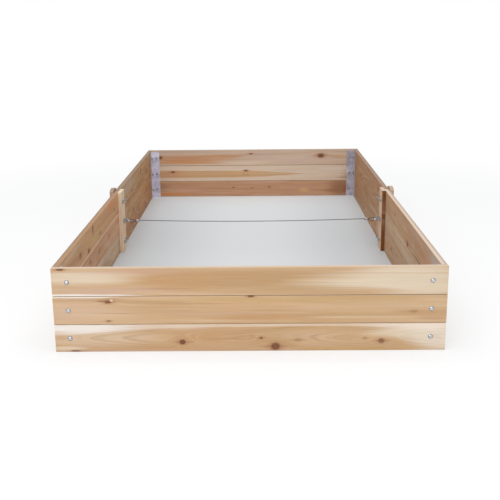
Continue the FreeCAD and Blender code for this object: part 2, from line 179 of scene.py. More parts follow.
def add_rope():
    """Six strands laid round a seventh."""
    line = rope_line()
    points = evenly(line, ROPE_STEP)
    vertices = []
    faces = []
    for strand in range(STRAND_COUNT):
        join_rings(strand_rings(points, strand / STRAND_COUNT, 2 * STRAND_RADIUS), vertices, faces)
    join_rings(strand_rings(points, 0.0, 0.0), vertices, faces)
    rope = mesh_object("tie_rope_strands", vertices, faces)
    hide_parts("tie_rope")
    return rope


rope = add_rope()

# ---- Threads on the bolts' ends, in millimetres ----------------------------------------------------------
TIERS = (45.0, 136.5, 228.0)     # heights of the bolts
TIE_TIER = 136.5
THREAD_PITCH = 1.27
THREAD_PROFILE = ((3.1, -0.52), (3.1, 0.52), (3.44, 0.0))    # radius, and place along the bolt
THREAD_CORNERS = 20              # to a turn
CORNER_X, CORNER_Y = 562.5, 1191.0       # bolts through the end and the side walls
STAKE_BOLT_Y = (-25.0, 25.0)
# Where a thread shows, from its nut to the bolt's end, measured from the bed's middle
END_WALL_THREAD = (1211.4, 1207.2)
SIDE_WALL_THREAD = (582.9, 578.7)
STAKE_THREAD = (567.3, 562.5)
EYE_THREAD = (632.7, 636.4)


def thread_places():
    """For each bolt: the axis it lies along, its place across that, its side, and where its thread shows."""
    places = []
    for z in TIERS:
        for side in (-1, 1):
            for end in (-1, 1):
                places.append(("Y", (side * CORNER_X, z), end, END_WALL_THREAD))
                places.append(("X", (end * CORNER_Y, z), side, SIDE_WALL_THREAD))
            for y in STAKE_BOLT_Y:
                places.append(("X", (y, z), side, STAKE_THREAD))
    for side in (-1, 1):
        places.append(("X", (0.0, TIE_TIER), side, EYE_THREAD))
    return places


def add_threads():
    """A ridge wound round each bolt's end, past its nut."""
    vertices = []
    faces = []
    for axis, across, side, reach in thread_places():
        start, stop = side * reach[0], side * reach[1]
        way = 1 if stop > start else -1
        count = int(abs(stop - start) / THREAD_PITCH * THREAD_CORNERS)
        rings = []
        for i in range(count + 1):
            turn = math.tau * i / THREAD_CORNERS
            at = start + way * THREAD_PITCH * i / THREAD_CORNERS
            ring = []
            for radius, shift in THREAD_PROFILE:
                a, z = across[0] + radius * math.cos(turn) * way, across[1] + radius * math.sin(turn)
                place = (a, at + shift * way, z) if axis == "Y" else (at + shift * way, a, z)
                ring.append(Vector(place) / MM_PER_METRE)
            rings.append(ring)
        join_rings(rings, vertices, faces)
    threads = mesh_object("bolt_threads", vertices, faces)
    return threads


threads = add_threads()


# ---- Short calls for building a material's nodes ---------------------------------------------------------
def colour(red, green, blue):
    """A screen colour from 0 to 255, as linear light."""
    linear = []
    for value in (red, green, blue):
        share = value / 255
        linear.append(share / 12.92 if share <= 0.04045 else ((share + 0.055) / 1.055) ** 2.4)
    return (*linear, 1.0)


class Graph:
    """The node tree of one material."""

    def __init__(self, name):
        self.material = bpy.data.materials.new(name)
        self.material.use_nodes = True
        self.tree = self.material.node_tree
        self.tree.nodes.clear()
        self.shader = self.node("ShaderNodeBsdfPrincipled")
        self.output = self.node("ShaderNodeOutputMaterial")
        self.feed(self.output.inputs["Surface"], self.shader.outputs["BSDF"])

    def node(self, kind, **settings):
        made = self.tree.nodes.new(kind)
        for name, value in settings.items():
            setattr(made, name, value)
        return made

    def feed(self, socket, value):
        if isinstance(value, bpy.types.NodeSocket):
            self.tree.links.new(value, socket)
        else:
            socket.default_value = value

    def math(self, operation, a, b=0.0):
        made = self.node("ShaderNodeMath", operation=operation)
        self.feed(made.inputs[0], a)
        self.feed(made.inputs[1], b)
        return made.outputs[0]

    def add(self, a, b):
        return self.math("ADD", a, b)

    def times(self, a, b):
        return self.math("MULTIPLY", a, b)

    def over(self, value, size):
        """A place counted in steps of one size."""
        return self.times(value, 1 / size)

    def length(self, a, b):
        return self.math("SQRT", self.add(self.times(a, a), self.times(b, b)))

    def parts(self, kind, output):
        """The X, Y and Z of a vector that a node gives."""
        split = self.node("ShaderNodeSeparateXYZ")
        self.feed(split.inputs[0], self.node(kind).outputs[output])
        return split.outputs

    def noise(self, x, y, z, detail=2.0, roughness=0.5):
        """Soft noise from 0 to 1, about one blot to each unit of its coordinates."""
        place = self.node("ShaderNodeCombineXYZ")
        for socket, value in zip(place.inputs, (x, y, z)):
            self.feed(socket, value)
        made = self.node("ShaderNodeTexNoise")
        self.feed(made.inputs["Vector"], place.outputs[0])
        made.inputs["Scale"].default_value = 1.0
        made.inputs["Detail"].default_value = detail
        made.inputs["Roughness"].default_value = roughness
        return made.outputs[0]

    def step(self, value, low, high, to_low=0.0, to_high=1.0):
        """A smooth change from one value to another as the input goes from low to high."""
        made = self.node("ShaderNodeMapRange", interpolation_type="SMOOTHSTEP")
        names = ("Value", "From Min", "From Max", "To Min", "To Max")
        for name, number in zip(names, (value, low, high, to_low, to_high)):
            self.feed(made.inputs[name], number)
        return made.outputs[0]

    def mix(self, share, a, b):
        made = self.node("ShaderNodeMix", data_type="RGBA")
        self.feed(made.inputs[0], share)
        self.feed(made.inputs[6], a)
        self.feed(made.inputs[7], b)
        return made.outputs[2]

    def curve(self, value, points, low, high):
        """A smooth curve through (input, output) points; the outputs lie between low and high."""
        first, last = points[0][0], points[-1][0]
        share = self.node("ShaderNodeMapRange")
        for name, number in (("Value", value), ("From Min", first), ("From Max", last)):
            self.feed(share.inputs[name], number)
        ramp = self.node("ShaderNodeValToRGB")
        ramp.color_ramp.interpolation = "EASE"
        stops = ramp.color_ramp.elements
        while len(stops) > 1:
            stops.remove(stops[-1])
        for index, (x, y) in enumerate(points):
            stop = stops[0] if index == 0 else stops.new((x - first) / (last - first))
            level = (y - low) / (high - low)
            stop.position = (x - first) / (last - first)
            stop.color = (level, level, level, 1.0)
        self.feed(ramp.inputs[0], share.outputs[0])
        return self.add(self.times(ramp.outputs[0], high - low), low)

    def bump(self, height, strength, distance):
        made = self.node("ShaderNodeBump")
        made.inputs["Strength"].default_value = strength
        made.inputs["Distance"].default_value = distance
        self.feed(made.inputs["Height"], height)
        self.feed(self.shader.inputs["Normal"], made.outputs[0])


# ---- Cedar -----------------------------------------------------------------------------------------------
HONEY = colour(206, 171, 133)
TAN = colour(216, 189, 158)
AMBER = colour(197, 155, 111)
ROSE = colour(208, 172, 150)
CREAM = colour(229, 212, 187)
SAP = colour(243, 235, 228)
OCHRE = colour(192, 157, 115)
GOLD = colour(205, 170, 118)
RUSSET = colour(186, 139, 106)
UMBER = colour(134, 94, 62)
KNOT_CORE = colour(150, 97, 62)
KNOT_RIM = colour(92, 52, 32)
KNOT_HALO = colour(178, 124, 90)
END_EARLY = colour(204, 168, 130)
END_LATE = colour(146, 106, 76)
BLOT_WARM = colour(190, 132, 84)
BLOT_PALE = colour(204, 182, 158)
AXES = {"X": 0, "Y": 1, "Z": 2}
# Millimetres
RING_SPACING = 3.1
RING_BEND = 10.0             # how far slow noise bends the rings
BOARD_HALF_WIDTH = 45.0
WEAR_AND_HIGHLIGHT_FROM, WEAR_AND_HIGHLIGHT_TO = 2.4, 1.2            # from a board's edge, where the paler edge fades in: wear, and partly a painted highlight where the eased edge catches light
SAP_REACH = 60.0             # no sapwood limit lies further from a board's middle
SAP_WOBBLE = 5.0
PITH_NEAR, PITH_DEEP, PITH_SPREAD = 95.0, 40.0, 50.0
# Looks that all boards of one kind share
CEDAR_ROUGHNESS = 0.64
END_ROSY, SIDE_ROSY = 0.36, 0.15         # strength of the rosy clouds
FIRST_SEED, SEED_STEP = 3.0, 7.3


class Cedar(Graph):
    """One board's cedar: u, v and w run along, across and through it in millimetres, from its middle."""

    def __init__(self, name, axes, middle, seed):
        super().__init__(name)
        self.seed = seed
        self.axes = [AXES[letter] for letter in axes]
        place = self.parts("ShaderNodeTexCoord", "Object")
        self.u, self.v, self.w = [self.times(self.add(place[i], -middle[i]), MM_PER_METRE) for i in self.axes]
        self.normal = self.parts("ShaderNodeNewGeometry", "True Normal")

    def ellipse(self, at_u, at_v, half_u, half_v):
        """Distance from a point, in shares of an ellipse's half axes."""
        return self.length(self.over(self.add(self.u, -at_u), half_u),
                           self.over(self.add(self.v, -at_v), half_v))

    def grow(self, pith, taper, knots):
        """Growth rings round a pith, bent by slow noise and pushed aside by knots."""
        u, v, w, seed = self.u, self.v, self.w, self.seed
        bend = self.noise(self.add(self.over(u, 900), seed), self.over(v, 110), self.over(w, 110))
        ring = self.length(self.add(v, -pith[0]), self.add(w, -pith[1]))
        ring = self.add(self.add(ring, self.times(bend, RING_BEND)), self.times(u, taper))
        for at_u, at_v, half_u, half_v, depth in knots:
            far = self.ellipse(at_u, at_v, half_u * 4.0, half_v * 2.6)
            push = self.math("EXPONENT", self.times(self.times(far, far), -1.0))
            ring = self.add(ring, self.times(push, half_v * 1.2 * depth))
        self.ring = ring
        share = self.math("FRACT", self.over(ring, RING_SPACING))
        self.late = self.times(self.step(share, 0.4, 0.92), self.step(share, 0.93, 1.0, 1.0, 0.0))
        self.streak = self.noise(self.add(self.over(u, 1100), seed * 3.1), self.over(ring, 9), seed,
                                 3.0, 0.6)
        self.fine = self.noise(self.add(self.over(u, 90), seed * 2.3), self.over(ring, 1.3),
                               self.over(w, 3), 2.0, 0.6)

    def tones(self, base, second, light, contrast, rosy):
        """Broad bands and narrow streaks of heartwood, with rosy and golden clouds."""
        u, v, seed = self.u, self.v, self.seed
        broad = self.noise(self.add(self.over(u, 620), seed * 1.7), self.over(self.ring, 32), seed + 4,
                           1.0)
        cloud = self.noise(self.add(self.over(u, 240), seed * 0.7), self.over(v, 24), seed + 9, 2.0)
        wood = self.mix(self.step(broad, 0.38, 0.62), base, second)
        wood = self.mix(self.step(self.streak, 0.5, 0.72, 0.0, 0.6), wood, light)
        wood = self.mix(self.step(self.streak, 0.48, 0.26, 0.0, 0.42 * contrast), wood, UMBER)
        wood = self.mix(self.step(cloud, 0.52, 0.74, 0.0, rosy), wood, ROSE)
        return self.mix(self.step(cloud, 0.47, 0.28, 0.0, 0.3), wood, GOLD)

    def patch(self, wood, patches):
        """Soft changes of tone at (u, v, half length, half width, tone, strength)."""
        for at_u, at_v, half_u, half_v, tone, strength in patches:
            ragged = self.times(self.add(self.streak, -0.5), 1.6)
            far = self.add(self.ellipse(at_u, at_v, half_u, half_v), ragged)
            wood = self.mix(self.step(far, 0.3, 1.3, strength, 0.0), wood, tone)
        return wood

    def mottle(self, wood, amount):
        """Short warm and pale blots, as on a rough-sawn face."""
        blot = self.noise(self.add(self.over(self.u, 85), self.seed * 5.3), self.over(self.v, 15),
                          self.seed + 1, 3.0, 0.6)
        wood = self.mix(self.step(blot, 0.5, 0.7, 0.0, amount), wood, BLOT_WARM)
        return self.mix(self.step(blot, 0.49, 0.3, 0.0, amount), wood, BLOT_PALE)

    def sapwood(self, wood, limits, tone):
        """Pale wood below and above the heartwood, whose limits are (u, lowest v, highest v)."""
        wobble = self.add(self.noise(self.over(self.u, 120), self.seed, self.over(self.w, 30)), -0.5)
        v = self.add(self.v, self.times(wobble, SAP_WOBBLE))
        lower = self.curve(self.u, [(at, low) for at, low, high in limits], -SAP_REACH, SAP_REACH)
        upper = self.curve(self.u, [(at, high) for at, low, high in limits], -SAP_REACH, SAP_REACH)
        below = self.step(self.math("SUBTRACT", v, lower), -2.0, 2.5, 1.0, 0.0)
        above = self.step(self.math("SUBTRACT", v, upper), -2.5, 2.0, 0.0, 1.0)
        pale = self.math("MAXIMUM", below, above)
        return self.mix(self.times(pale, self.step(self.streak, 0.3, 0.6, 0.75, 0.95)), wood, tone)

    def lines(self, wood, light, contrast):
        """Late wood, pores and the paler edges: wear, and partly a painted highlight where the eased edges
        catch light.
        """
        fade = self.noise(self.over(self.u, 260), self.over(self.ring, 16), self.seed + 2, 1.0)
        strength = self.step(fade, 0.35, 0.7, 0.04 * contrast, 0.3 * contrast)
        wood = self.mix(self.times(self.late, strength), wood, UMBER)
        wood = self.mix(self.step(self.fine, 0.42, 0.25, 0.0, 0.2 * contrast), wood, UMBER)
        wood = self.mix(self.step(self.fine, 0.5, 0.75, 0.0, 0.2), wood, light)
        # Paler edges: wear, and partly a painted highlight
        from_edge = self.math("SUBTRACT", BOARD_HALF_WIDTH, self.math("ABSOLUTE", self.v))
        wear_and_highlight = self.step(from_edge, WEAR_AND_HIGHLIGHT_TO, WEAR_AND_HIGHLIGHT_FROM, 0.4, 0.0)
        return self.mix(wear_and_highlight, wood, light)

    def knots(self, wood, knots):
        """Dark cores in a brown halo, at (u, v, half length, half width, depth of tone)."""
        rough = self.add(self.noise(self.over(self.u, 5), self.over(self.v, 3), self.seed, 2.0), -0.5)
        for at_u, at_v, half_u, half_v, depth in knots:
            core = self.add(self.ellipse(at_u, at_v, half_u, half_v), self.times(rough, 0.7))
            halo = self.add(self.ellipse(at_u, at_v, half_u * 2.2, half_v * 1.5), self.times(rough, 0.8))
            tail = self.add(self.ellipse(at_u, at_v, half_u * 4.5, half_v * 0.5), self.times(rough, 0.9))
            ripple = self.math("SINE", self.times(core, 16.0))
            wood = self.mix(self.step(tail, 0.3, 1.2, 0.4 * depth, 0.0), wood, UMBER)
            wood = self.mix(self.step(halo, 0.3, 1.4, 0.75 * depth, 0.0), wood, KNOT_HALO)
            wood = self.mix(self.step(core, 0.6, 1.35, depth, 0.0), wood, KNOT_RIM)
            ringed = self.step(ripple, -0.8, 0.8, 0.4, 1.0)
            heart = self.times(self.step(core, 0.2, 1.0, 0.85 * depth, 0.0), ringed)
            wood = self.mix(heart, wood, KNOT_CORE)
        return wood

    def eyes(self, wood, eyes):
        """Pale healed knots in a dark ring, at (u, v, half length, half width)."""
        for at_u, at_v, half_u, half_v in eyes:
            far = self.ellipse(at_u, at_v, half_u, half_v)
            wood = self.mix(self.step(far, 0.9, 1.35, 0.75, 0.0), wood, KNOT_HALO)
            wood = self.mix(self.step(far, 0.5, 0.95, 0.85, 0.0), wood, CREAM)
        return wood

    def top_edge(self, wood, inner, outer, outward, change):
        """The upper face of a wall, with one tone inside and one outside, parted at a depth: painted light
        and shade, with the darker outer strip as painted shade.
        """
        depth = self.times(self.w, float(outward))
        tone = self.mix(self.step(depth, change - 2.0, change + 2.0), inner, outer)
        tone = self.mix(self.step(self.streak, 0.35, 0.65, 0.0, 0.3), tone, wood)
        return self.mix(self.step(self.normal[AXES["Z"]], 0.5, 0.9, 0.0, 0.9), wood, tone)

    def face(self, wood, axis, sign, tone, strength):
        """One face, which looks along an axis of the frame, in its own tone: painted light and shade, that
        side lighter or darker than the rest as light falls on it.
        """
        facing = self.times(self.normal[AXES[axis]], float(sign))
        streaky = self.step(self.streak, 0.3, 0.7, strength, strength * 0.6)
        return self.mix(self.times(self.step(facing, 0.6, 0.9), streaky), wood, tone)

    def end_grain(self, wood, early, late):
        """Rings seen square on, where the board is cut across."""
        facing = self.math("ABSOLUTE", self.normal[self.axes[0]])
        ends = self.mix(self.times(self.late, 0.7), early, late)
        ends = self.mix(self.step(self.streak, 0.35, 0.65, 0.0, 0.5), ends, wood)
        return self.mix(self.step(facing, 0.6, 0.9), wood, ends)

    def finish(self, wood):
        """Planed surface with raised late wood, fibres and faint saw marks."""
        fibre = self.noise(self.over(self.u, 26), self.over(self.v, 0.5), self.over(self.w, 0.5),
                           1.0)
        saw = self.noise(self.over(self.u, 1.6), self.over(self.v, 60), self.seed, 1.0)
        self.feed(self.shader.inputs["Base Color"], wood)
        self.feed(self.shader.inputs["Roughness"],
                  self.step(self.fine, 0.3, 0.7, CEDAR_ROUGHNESS - 0.07, CEDAR_ROUGHNESS + 0.09))
        self.shader.inputs["Specular IOR Level"].default_value = 0.3
        height = self.add(self.times(self.late, 0.6), self.times(self.fine, 0.6))
        height = self.add(height, self.add(self.times(fibre, 0.5), self.times(saw, 0.25)))
        self.bump(height, 0.5, 0.0004)
        return self.material


def pith_of(seed):
    """A pith beyond one edge of the board, (v, w), for a board that isn't given its own."""
    across = PITH_NEAR - (seed * 37) % PITH_SPREAD
    return (-across if seed % 2 < 1 else across, PITH_DEEP + (seed * 13) % PITH_SPREAD)


def cedar(name, axes, middle, seed, rosy, base, second, light, contrast, pith=None, taper=0.012, mottle=0.0,
          sap=(), sap_tone=SAP, knots=(), eyes=(), patches=(), stains_and_shade=(), top=(), ends=(END_EARLY, END_LATE),
          face=()):
    """A board's material from its looks. Patches lie under its sapwood, and marks of stain and of painted
    shade over it.
    """
    board = Cedar(name, axes, middle, seed)
    board.grow(pith or pith_of(seed), taper, knots)
    wood = board.tones(base, second, light, contrast, rosy)
    if mottle:
        wood = board.mottle(wood, mottle)
    wood = board.patch(wood, patches)
    if sap:
        wood = board.sapwood(wood, sap, sap_tone)
    wood = board.patch(wood, stains_and_shade)
    wood = board.lines(wood, light, contrast)
    wood = board.knots(wood, knots)
    wood = board.eyes(wood, eyes)
    if top:
        wood = board.top_edge(wood, *top)
    if face:
        wood = board.face(wood, *face)
    return board.finish(board.end_grain(wood, *ends))


def dress(node, material):
    """Give every slot of a CAD node one material."""
    mesh = nodes[node].data
    if not mesh.materials:
        mesh.materials.append(material)
    for index in range(len(mesh.materials)):
        mesh.materials[index] = material


def middle_of(node):
    low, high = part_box(node)
    return (low + high) / 2


# Tones of the walls' upper faces, with painted light and shade: the paler tones are partly painted light, and
# the darker strip along the outer edge is painted shade
PALE_EDGE = colour(222, 204, 186)
GREY_EDGE_SHADE = colour(182, 168, 154)
DARK_EDGE_SHADE = colour(136, 114, 98)
FAR_EDGE_SHADE = colour(118, 102, 87)

# Front and back boards: u runs along X and v along Z
END_BOARDS = {
    "end_board_front_top": dict(
        base=HONEY, second=AMBER, light=TAN, contrast=0.6, pith=(-66.0, 58.0),
        sap=((-610, -38, 60), (-430, -40, 60), (-240, -46, 60), (610, -46, 60)),
        knots=((-581, 41, 11, 3.5, 0.8),),
        patches=((-520, 14, 190, 24, CREAM, 0.8), (-430, -30, 210, 15, ROSE, 0.7),
                 (-330, 32, 170, 12, ROSE, 0.4), (-190, -6, 150, 26, AMBER, 0.85),
                 (60, 4, 240, 50, OCHRE, 0.6), (-300, -22, 120, 3, UMBER, 0.2),
                 (262, 24, 110, 2.5, UMBER, 0.22), (450, 2, 290, 28, CREAM, 0.95),
                 (500, 36, 200, 14, CREAM, 0.85), (560, -24, 150, 30, CREAM, 0.8)),
        top=(colour(211, 194, 178), colour(206, 186, 164), -1, 0.0)),
    "end_board_front_middle": dict(
        base=colour(213, 178, 141), second=colour(201, 163, 120), light=colour(226, 204, 172), contrast=0.75,
        pith=(74.0, 46.0), taper=-0.01,
        sap=((-610, -60, 41), (-480, -60, 42), (-360, -60, 47), (610, -60, 47)),
        knots=((-438, 28, 11, 5.5, 0.85), (4, 43, 9, 3, 0.8), (-439, -35, 7, 3.5, 0.45),
               (-458, 31, 14, 2, 0.4), (508, -8, 12, 5, 0.2)),
        eyes=((-427, 33, 7, 5),),
        patches=((-540, 0, 120, 40, ROSE, 0.3), (-470, -4, 200, 30, TAN, 0.45),
                 (-240, -4, 170, 34, AMBER, 0.5), (-120, 4, 180, 4, CREAM, 0.25),
                 (10, 4, 190, 24, colour(201, 160, 118), 0.5), (-60, -12, 240, 5, ROSE, 0.5),
                 (38, -24, 200, 12, AMBER, 0.85), (120, 32, 380, 10, GOLD, 0.7),
                 (-300, 26, 110, 6, OCHRE, 0.7), (-408, -10, 80, 1.6, UMBER, 0.35),
                 (-200, 20, 140, 1.6, UMBER, 0.25), (330, -26, 160, 4, CREAM, 0.35),
                 (420, 8, 240, 24, colour(214, 182, 145), 0.7), (520, -12, 80, 9, AMBER, 0.6),
                 (575, -30, 60, 8, RUSSET, 0.4))),
    "end_board_front_bottom": dict(
        base=HONEY, second=colour(200, 162, 120), light=TAN, contrast=0.8, pith=(0.0, 33.0), taper=-0.03,
        sap_tone=colour(225, 203, 180),
        stains_and_shade=((-540, 36, 200, 22, SAP, 0.95), (-230, 38, 110, 12, colour(228, 208, 190), 0.5),
                (520, 36, 170, 16, colour(246, 231, 216), 0.8)),
        sap=((-610, -60, 25), (-468, -60, 26.5), (-374, -60, 29), (-199, -60, 34), (-62, -60, 36),
             (218, -60, 37), (467, -60, 34), (560, -60, 31), (610, -60, 24)),
        knots=((-211, -14, 9, 8, 0.95), (80, -30, 14, 12, 0.85), (410, -13, 10, 8, 0.6), (35, -2, 5, 4, 0.65),
               (-547, -43, 14, 4, 0.75), (359, -4, 7, 4, 0.25), (150, -9, 14, 5, 0.25)),
        patches=((-470, 0, 240, 28, colour(215, 188, 158), 0.9), (-594, 4, 30, 12, AMBER, 0.5),
                 (-572, -34, 60, 9, CREAM, 0.8), (-330, -41, 240, 4, ROSE, 0.7),
                 (-100, 4, 200, 24, AMBER, 0.7), (-78, -4, 60, 1.5, UMBER, 0.45),
                 (60, 8, 160, 30, OCHRE, 0.4), (320, 0, 200, 30, colour(210, 176, 137), 0.7),
                 (350, -36, 260, 8, GOLD, 0.6), (480, 16, 130, 18, CREAM, 0.8),
                 (600, 4, 110, 70, colour(232, 217, 197), 0.95))),
    "end_board_back_top": dict(
        base=colour(204, 178, 158), second=colour(208, 180, 154), light=colour(222, 200, 180), contrast=0.9,
        pith=(70.0, 50.0),
        knots=((-12, 22, 9, 5, 0.7), (396, 9, 18, 12, 0.9), (-539, 3, 9, 9, 0.95)),
        patches=((-390, -8, 310, 26, colour(196, 142, 100), 0.9),
                 (-400, -26, 240, 9, colour(206, 140, 84), 0.85),
                 (-180, 4, 130, 12, colour(200, 148, 106), 0.75), (-30, -30, 160, 8, CREAM, 0.5),
                 (-420, 36, 240, 8, colour(190, 168, 152), 0.6),
                 (396, 24, 90, 2.5, colour(190, 150, 124), 0.6),
                 (396, -10, 110, 3, colour(188, 136, 100), 0.6),
                 (330, -6, 260, 34, colour(212, 186, 168), 0.7),
                 (500, 2, 70, 12, colour(200, 154, 112), 0.6)),
        top=(colour(150, 136, 124), FAR_EDGE_SHADE, 1, 3.0)),
    "end_board_back_middle": dict(
        base=colour(198, 162, 122), second=colour(204, 160, 118), light=colour(216, 184, 148), contrast=0.8,
        pith=(80.0, 50.0), sap_tone=colour(219, 198, 177),
        sap=((-610, -26, 20), (-300, -26, 16), (0, -24, 13), (190, -14, 4), (260, -7, -1), (330, -3, -4),
             (610, -3, -4)),
        knots=((-469, 9, 10, 6, 0.9), (-41, 15, 10, 5, 0.85), (-30, -9, 3, 2, 0.6), (-52, -6, 3, 2, 0.6)),
        patches=((-500, -5, 120, 18, colour(198, 146, 110), 0.7),
                 (-100, 0, 240, 10, colour(206, 158, 112), 0.7),
                 (-560, 20, 60, 18, colour(196, 160, 126), 0.5)),
        # The first of these is painted shade, darker towards the back right corner
        stains_and_shade=((600, -20, 90, 60, colour(176, 128, 92), 0.85),
                (480, 24, 110, 14, colour(226, 208, 196), 0.6))),
    "end_board_back_bottom": dict(
        base=colour(194, 149, 118), second=colour(187, 140, 108), light=colour(205, 166, 136), contrast=0.8,
        knots=((-115, 7, 7, 4, 0.7), (-4, 4, 6, 4, 0.35), (95, 8, 10, 8, 0.3)),
        patches=((-500, -30, 150, 9, colour(208, 134, 76), 0.85), (-560, 10, 70, 30, UMBER, 0.45),
                 # The last two patches, at the right end, are painted shade towards the back right corner
                 (300, -8, 26, 16, colour(210, 166, 118), 0.7), (530, 0, 100, 60, colour(144, 100, 68), 0.85),
                 (560, -6, 32, 28, colour(148, 76, 44), 0.8))),
}

# Side boards: u runs along Y and v along Z. Their far halves are darker, partly weathered and partly painted
# shade.
SIDE_BOARDS = {
    "side_board_left_front_top": dict(
        base=colour(198, 154, 109), second=colour(194, 146, 102), light=colour(210, 171, 128), contrast=1.0,
        mottle=0.4,
        knots=((-28, 22, 8, 18, 0.9), (110, -23, 12, 7, 0.6), (-123, -35, 16, 9, 0.9),
               (-274, -11, 16, 12, 0.6), (-480, 0, 16, 9, 0.4), (470, -10, 12, 8, 0.4)),
        patches=((386, 26, 120, 22, colour(208, 134, 88), 0.9),
                 (45, -17, 200, 16, colour(198, 166, 110), 0.8), (-440, 30, 220, 14, TAN, 0.6),
                 (200, 4, 180, 14, colour(192, 136, 98), 0.6)),
        top=(colour(160, 124, 94), DARK_EDGE_SHADE, -1, 3.0)),
    "side_board_left_front_middle": dict(
        base=colour(197, 151, 115), second=colour(187, 139, 103), light=colour(213, 178, 143), contrast=1.0,
        mottle=0.45, sap_tone=colour(222, 188, 160),
        sap=((-610, -60, 39), (610, -60, 40)),
        knots=((80, 0, 14, 10, 0.5), (-110, 12, 14, 9, 0.5), (-330, -14, 14, 9, 0.45), (300, 8, 12, 8, 0.45)),
        patches=((0, 30, 610, 8, colour(184, 134, 98), 0.6),)),
    "side_board_left_front_bottom": dict(
        base=colour(187, 162, 137), second=colour(175, 141, 107), light=colour(203, 178, 150), contrast=1.1,
        mottle=0.5, sap_tone=colour(214, 186, 158),
        sap=((-610, -60, 40), (0, -60, 41), (400, -60, 46), (610, -60, 47)),
        knots=((100, 10, 14, 9, 0.55), (-300, -10, 14, 9, 0.5)),
        patches=((420, -10, 140, 20, colour(206, 182, 154), 0.6),
                 (100, -20, 160, 16, colour(190, 184, 164), 0.7),
                 (-200, 10, 200, 16, colour(190, 150, 112), 0.6))),
    "side_board_left_back_top": dict(
        base=colour(175, 138, 95), second=colour(165, 125, 85), light=colour(188, 156, 119), contrast=1.2,
        mottle=0.5,
        knots=((115, 8, 13, 15, 0.85), (338, -30, 14, 17, 0.85), (-224, -28, 16, 10, 0.5),
               (480, -20, 20, 12, 0.5)),
        patches=((560, 16, 60, 40, colour(138, 128, 86), 0.7),
                 (-330, 16, 220, 30, colour(184, 162, 142), 0.75),
                 (200, 20, 160, 14, colour(190, 150, 96), 0.6)),
        top=(colour(140, 119, 98), FAR_EDGE_SHADE, -1, 0.0)),
    "side_board_left_back_middle": dict(
        base=colour(173, 130, 85), second=colour(162, 117, 74), light=colour(188, 149, 104), contrast=1.2,
        mottle=0.5,
        knots=((308, -36, 15, 22, 0.8), (-200, -36, 20, 14, 0.6), (480, 16, 18, 12, 0.5)),
        patches=((-140, 6, 240, 24, colour(190, 148, 104), 0.6),
                 (300, -10, 120, 26, colour(196, 136, 76), 0.7))),
    "side_board_left_back_bottom": dict(
        base=colour(173, 125, 85), second=colour(162, 112, 74), light=colour(186, 145, 106), contrast=1.1,
        mottle=0.5,
        knots=((255, -17, 14, 18, 0.75), (0, 10, 16, 12, 0.5), (-300, 4, 16, 10, 0.5)),
        patches=((180, 26, 160, 20, colour(190, 130, 94), 0.6),)),
    "side_board_right_front_top": dict(
        base=colour(180, 140, 103), second=colour(173, 132, 97), light=colour(192, 156, 121), contrast=0.7,
        mottle=0.35,
        knots=((-8, -44, 16, 9, 0.85), (300, 0, 14, 8, 0.3)),
        patches=((-530, 6, 130, 60, colour(190, 172, 158), 0.95),
                 (-400, -24, 70, 30, colour(200, 142, 98), 0.7),
                 (-200, 30, 220, 14, colour(192, 156, 132), 0.6),
                 (200, 10, 260, 24, colour(194, 158, 120), 0.6)),
        top=(PALE_EDGE, GREY_EDGE_SHADE, 1, 2.0)),
    "side_board_right_front_middle": dict(
        base=colour(184, 151, 119), second=colour(175, 138, 104), light=colour(199, 173, 144), contrast=0.8,
        mottle=0.4,
        knots=((-8, 43, 16, 9, 0.85),),
        patches=((150, 28, 200, 6, TAN, 0.6), (-270, 39, 220, 4, KNOT_RIM, 0.75),
                 (-100, -10, 400, 18, colour(194, 176, 154), 0.5))),
    "side_board_right_front_bottom": dict(
        base=colour(180, 147, 113), second=colour(171, 134, 99), light=colour(193, 166, 135), contrast=0.8,
        mottle=0.4,
        knots=((370, 16, 11, 8, 0.85), (-100, 4, 12, 8, 0.3)),
        patches=((420, 10, 90, 24, colour(194, 140, 100), 0.6),)),
    "side_board_right_back_top": dict(
        base=colour(164, 123, 88), second=colour(155, 112, 79), light=colour(177, 137, 101), contrast=0.9,
        mottle=0.4,
        knots=((-409, 5, 18, 12, 0.6), (-500, 20, 16, 10, 0.5)),
        patches=((-440, 12, 130, 30, colour(176, 116, 84), 0.8),
                 (180, -20, 220, 2.4, colour(214, 176, 146), 0.85)),
        top=(colour(158, 132, 111), colour(132, 118, 106), 1, 2.0)),
    "side_board_right_back_middle": dict(
        base=colour(164, 123, 86), second=colour(155, 112, 77), light=colour(178, 141, 105), contrast=0.8,
        mottle=0.4,
        patches=((-300, -30, 240, 8, TAN, 0.4), (300, 10, 200, 12, colour(190, 140, 94), 0.5))),
    "side_board_right_back_bottom": dict(
        base=colour(167, 128, 93), second=colour(158, 116, 83), light=colour(184, 150, 119), contrast=0.9,
        mottle=0.45,
        knots=((-500, 0, 16, 9, 0.5), (-360, 10, 14, 8, 0.5)),
        patches=((-480, 0, 140, 30, colour(206, 160, 142), 0.8),)),
}

